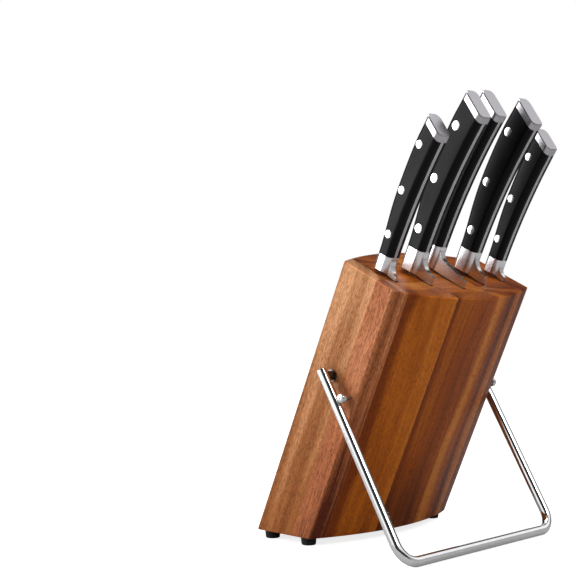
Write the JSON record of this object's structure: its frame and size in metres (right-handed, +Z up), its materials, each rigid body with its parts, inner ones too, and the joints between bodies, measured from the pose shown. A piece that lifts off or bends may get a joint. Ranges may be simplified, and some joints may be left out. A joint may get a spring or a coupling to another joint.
{
  "type": "knife block with knives",
  "caption": "Leaning lens-shaped wooden block on a folding wire stand, holding forged kitchen knives in open slots.",
  "frame": {"origin": "on the table, under the middle of the object's bounding box", "axes": "+Z up; X across the block from end face to end face; the block leans towards -Y, over the base of its stand, and the knives' cutting edges face -Y"},
  "size_m": [0.1732, 0.1928, 0.3149],
  "materials": {
    "wood": "oiled acacia, satin",
    "blade_steel": "polished bolster, ground blade",
    "handle_black": "moulded, satin",
    "rivet_steel": "polished",
    "cap_steel": "satin flat, polished rim",
    "stand_chrome": "polished chrome",
    "stop_steel": "nickel plated",
    "bush_steel": "oiled dark steel",
    "screw_steel": "zinc plated",
    "foot_rubber": "matte"
  },
  "bodies": {
    "block": {"left_board_front": "wood", "left_board_rear": "wood", "left_end_board_front": "wood", "left_end_board_rear": "wood", "middle_board_front": "wood", "middle_board_rear": "wood", "right_board_front": "wood", "right_board_rear": "wood", "right_end_board_front": "wood", "right_end_board_rear": "wood", "foot_back_left": "foot_rubber", "foot_back_right": "foot_rubber", "foot_front_left": "foot_rubber", "foot_front_right": "foot_rubber", "foot_screws": "screw_steel", "pivot_bush_left": "bush_steel", "pivot_bush_right": "bush_steel", "stop_screw_left": "stop_steel", "stop_screw_right": "stop_steel"},
    "stand": {"stand_rod": "stand_chrome", "pivot_stud_left": "stand_chrome", "pivot_stud_right": "stand_chrome"},
    "utility_knife": {"utility_knife_blade": "blade_steel", "utility_knife_end_cap": "cap_steel", "utility_knife_rivets": "rivet_steel", "utility_knife_scale_left": "handle_black", "utility_knife_scale_right": "handle_black"},
    "slicing_knife": {"slicing_knife_blade": "blade_steel", "slicing_knife_end_cap": "cap_steel", "slicing_knife_rivets": "rivet_steel", "slicing_knife_scale_left": "handle_black", "slicing_knife_scale_right": "handle_black"},
    "chef_knife": {"chef_knife_blade": "blade_steel", "chef_knife_end_cap": "cap_steel", "chef_knife_rivets": "rivet_steel", "chef_knife_scale_left": "handle_black", "chef_knife_scale_right": "handle_black"},
    "bread_knife": {"bread_knife_blade": "blade_steel", "bread_knife_end_cap": "cap_steel", "bread_knife_rivets": "rivet_steel", "bread_knife_scale_left": "handle_black", "bread_knife_scale_right": "handle_black"},
    "paring_knife": {"paring_knife_blade": "blade_steel", "paring_knife_end_cap": "cap_steel", "paring_knife_rivets": "rivet_steel", "paring_knife_scale_left": "handle_black", "paring_knife_scale_right": "handle_black"}
  },
  "joints": [
    {"name": "utility_knife_lift", "type": "slide", "parent": "block", "child": "utility_knife", "axis": [0, -0.4226, 0.9063], "range_m": [0, 0.137]},
    {"name": "slicing_knife_lift", "type": "slide", "parent": "block", "child": "slicing_knife", "axis": [0, -0.4226, 0.9063], "range_m": [0, 0.21]},
    {"name": "chef_knife_lift", "type": "slide", "parent": "block", "child": "chef_knife", "axis": [0, -0.4226, 0.9063], "range_m": [0, 0.21]},
    {"name": "bread_knife_lift", "type": "slide", "parent": "block", "child": "bread_knife", "axis": [0, -0.4226, 0.9063], "range_m": [0, 0.21]},
    {"name": "paring_knife_lift", "type": "slide", "parent": "block", "child": "paring_knife", "axis": [0, -0.4226, 0.9063], "range_m": [0, 0.099]},
    {"name": "stand_fold", "type": "hinge", "parent": "block", "child": "stand", "pos_m": [0, 0.00242, 0.12152], "axis": [1, 0, 0], "range_deg": [0, 56]}
  ]
}
